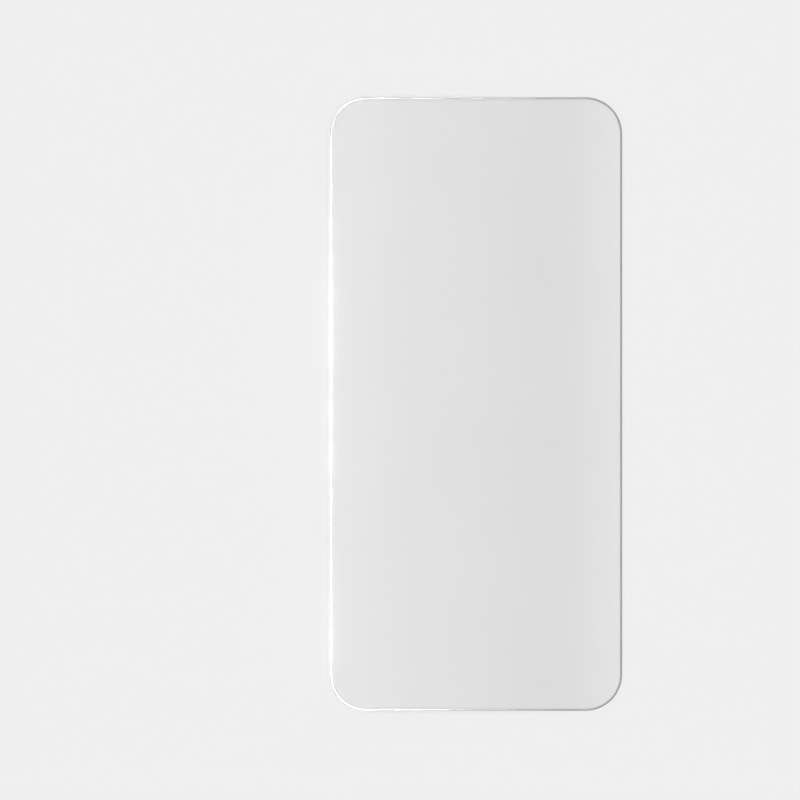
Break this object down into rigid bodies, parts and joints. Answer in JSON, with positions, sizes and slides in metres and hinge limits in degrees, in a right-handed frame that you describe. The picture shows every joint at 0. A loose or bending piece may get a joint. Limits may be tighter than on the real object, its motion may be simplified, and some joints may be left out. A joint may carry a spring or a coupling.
{
  "type": "phone screen protector",
  "caption": "Thin clear glass sheet with round corners and a curved polished front edge, laid over a phone's screen to guard it from scratches.",
  "frame": {"origin": "middle of the back face, the face that sticks to the screen, on which the sheet lies", "axes": "+Z out of the front face, X across the phone, +Y along the sheet towards the phone's top end"},
  "size_m": [0.0698, 0.147, 0.0003],
  "materials": {
    "clear_glass": "polished toughened glass, see-through, with a finely ground and polished edge"
  },
  "bodies": {
    "root": {"glass_sheet": "clear_glass"}
  },
  "joints": []
}
